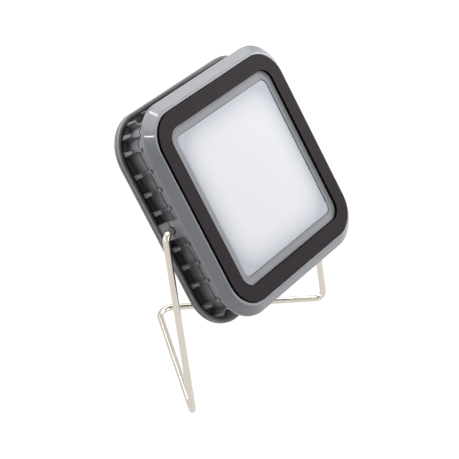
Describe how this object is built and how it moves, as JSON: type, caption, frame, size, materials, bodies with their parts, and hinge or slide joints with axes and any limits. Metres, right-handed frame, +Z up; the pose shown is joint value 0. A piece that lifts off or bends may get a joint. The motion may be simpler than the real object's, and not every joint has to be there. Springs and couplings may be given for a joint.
{
  "type": "work light",
  "caption": "Square cordless LED work light with an opal lens, dark trim ring and ribbed case, tilting on a bent wire stand with a V-shaped base.",
  "frame": {"origin": "on the floor, under the middle of the bounding box", "axes": "+Z up, the lamp faces -Y and looks up 35 degrees at rest, +X to the right as seen from in front"},
  "size_m": [0.169, 0.1156, 0.2004],
  "materials": {
    "stand_wire": "bright nickel-plated steel wire",
    "bush": "black friction bush",
    "case_grey": "satin grey moulded plastic, fine texture",
    "cover_grey": "satin grey moulded plastic, fine texture",
    "frame_grey": "satin grey moulded plastic, smooth",
    "trim_dark": "matt brown-black moulded plastic with glossy sides",
    "opal_lens": "opal white diffuser, satin",
    "seal": "black silicone seal",
    "white_plastic": "white reflector plastic",
    "led_board_white": "white solder mask on aluminium core",
    "led_phosphor": "yellow phosphor",
    "aluminium_plate": "mill finish aluminium plate",
    "cell_wrap": "blue shrink wrap",
    "black_plastic": "black moulded plastic",
    "nickel": "nickel-plated steel",
    "lead_red": "red insulated lead",
    "lead_black": "black insulated lead",
    "board_green": "green circuit board",
    "connector_white": "natural nylon connector",
    "capacitor_can": "aluminium can",
    "chip_black": "black moulding compound",
    "ferrite": "ferrite drum",
    "clear_guide": "frosted clear light guide",
    "button_rubber": "dark silicone rubber",
    "flap_rubber": "dark silicone rubber",
    "screw_steel": "zinc-plated steel"
  },
  "bodies": {
    "stand": {"wire_stand": "stand_wire"},
    "head": {"battery_cells": "cell_wrap", "battery_leads": "lead_red", "battery_tabs": "nickel", "battery_tray": "black_plastic", "board_screws": "screw_steel", "capacitors": "capacitor_can", "case_gasket": "seal", "case_screws": "screw_steel", "charge_light_guides": "clear_guide", "connectors": "connector_white", "cover_gasket": "seal", "cover_screws": "screw_steel", "diffuser": "opal_lens", "driver_board": "board_green", "driver_chips": "chip_black", "driver_screws": "screw_steel", "front_bezel": "case_grey", "heat_spreader": "aluminium_plate", "indicator_leds": "led_phosphor", "inductor": "ferrite", "led_board": "led_board_white", "led_chips": "led_phosphor", "led_leads": "lead_black", "lens_frame": "frame_grey", "lens_gasket": "seal", "pivot_bush_left": "bush", "pivot_bush_right": "bush", "rear_cover": "cover_grey", "rear_housing": "case_grey", "reflector": "white_plastic", "spreader_screws": "screw_steel", "tact_switch": "chip_black", "trim_ring": "trim_dark", "usb_socket": "nickel"},
    "power_button": {"power_button": "button_rubber"},
    "port_flap": {"port_flap": "flap_rubber"}
  },
  "joints": [
    {"name": "head_tilt", "type": "hinge", "parent": "stand", "child": "head", "pos_m": [0, -0.00305, 0.13125], "axis": [1, 0, 0], "continuous": true},
    {"name": "power_button_press", "type": "slide", "parent": "head", "child": "power_button", "axis": [0, -0.8192, 0.5736], "range_m": [0, 0.0008], "stiffness_N_per_m": 1500},
    {"name": "port_flap_hinge", "type": "hinge", "parent": "head", "child": "port_flap", "pos_m": [0.04245, 0.03066, 0.15281], "axis": [0, -0.5736, -0.8192], "range_deg": [0, 100]}
  ]
}
